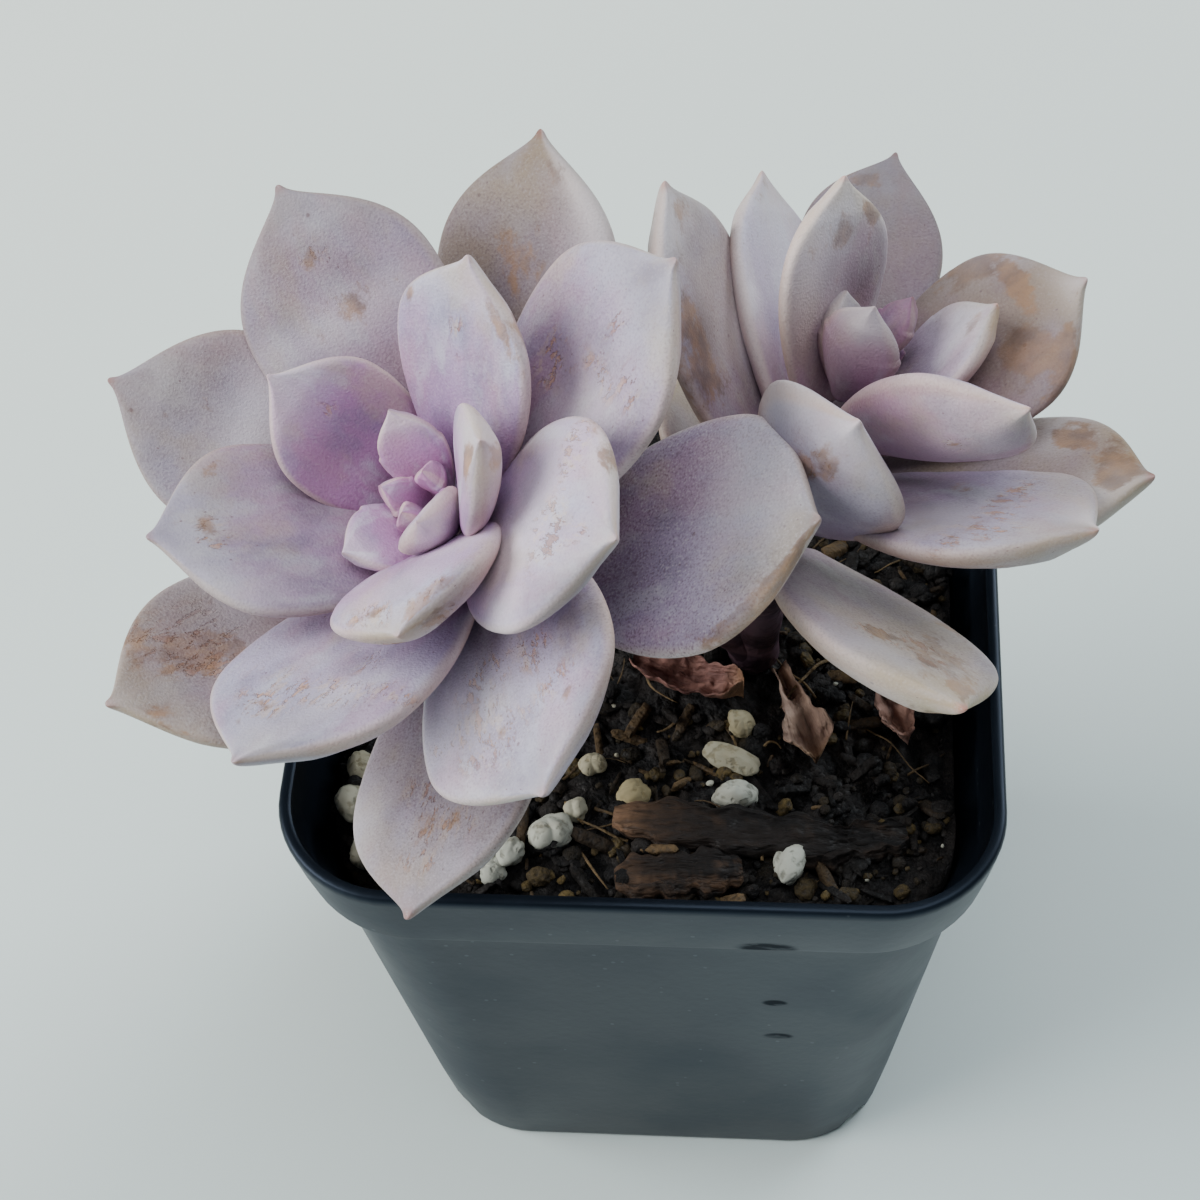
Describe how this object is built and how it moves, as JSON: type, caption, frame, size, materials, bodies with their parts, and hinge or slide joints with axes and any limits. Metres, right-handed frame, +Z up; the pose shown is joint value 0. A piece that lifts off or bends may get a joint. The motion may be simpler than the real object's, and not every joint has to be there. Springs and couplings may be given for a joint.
{
  "type": "potted graptopetalum superbum",
  "caption": "Potted succulent: lavender-pink rosettes of thick, keeled, pointed leaves on a short forked stem, in a small square plastic nursery pot.",
  "frame": {"origin": "middle of the pot's underside, on the surface that it stands on", "axes": "+Z up; -Y towards the front of the pot, the side nearest to the viewer in the picture; +X to that viewer's right"},
  "size_m": [0.0929, 0.0818, 0.1266],
  "materials": {
    "pot": "satin dark charcoal moulded plastic",
    "potting_mix": "rough, damp, near black",
    "stem": "matt purplish skin with leaf scars",
    "leaf": "matt waxy bloom, lavender with cream and peach margins",
    "young_leaf": "matt waxy bloom, pink to mauve",
    "perlite": "rough, chalky white",
    "bark": "rough, dark brown, fibrous",
    "dry_leaf": "dry, wrinkled, reddish brown"
  },
  "bodies": {
    "root": {"pot": "pot", "potting_mix": "potting_mix", "forked_stem": "stem", "left_heart": "young_leaf", "right_heart": "young_leaf", "left_leaf_01": "leaf", "left_leaf_02": "leaf", "left_leaf_03": "leaf", "left_leaf_04": "leaf", "left_leaf_05": "leaf", "left_leaf_06": "leaf", "left_leaf_07": "leaf", "left_leaf_08": "leaf", "left_leaf_09": "leaf", "left_leaf_10": "leaf", "left_leaf_11": "leaf", "left_leaf_12": "leaf", "left_leaf_13": "leaf", "left_leaf_14": "leaf", "left_leaf_15": "leaf", "right_leaf_01": "leaf", "right_leaf_02": "leaf", "right_leaf_03": "leaf", "right_leaf_04": "leaf", "right_leaf_05": "leaf", "right_leaf_06": "leaf", "right_leaf_07": "leaf", "right_leaf_08": "leaf", "right_leaf_09": "leaf", "right_leaf_10": "leaf", "right_leaf_11": "leaf", "right_leaf_12": "leaf", "perlite_01": "perlite", "perlite_02": "perlite", "perlite_03": "perlite", "perlite_04": "perlite", "perlite_05": "perlite", "perlite_06": "perlite", "perlite_07": "perlite", "perlite_08": "perlite", "perlite_09": "perlite", "perlite_10": "perlite", "perlite_11": "perlite", "perlite_12": "perlite", "perlite_13": "perlite", "perlite_14": "perlite", "bark_chip_1": "bark", "bark_chip_2": "bark", "bark_chip_3": "bark", "dry_leaf_1": "dry_leaf", "dry_leaf_2": "dry_leaf", "dry_leaf_3": "dry_leaf"}
  },
  "joints": []
}
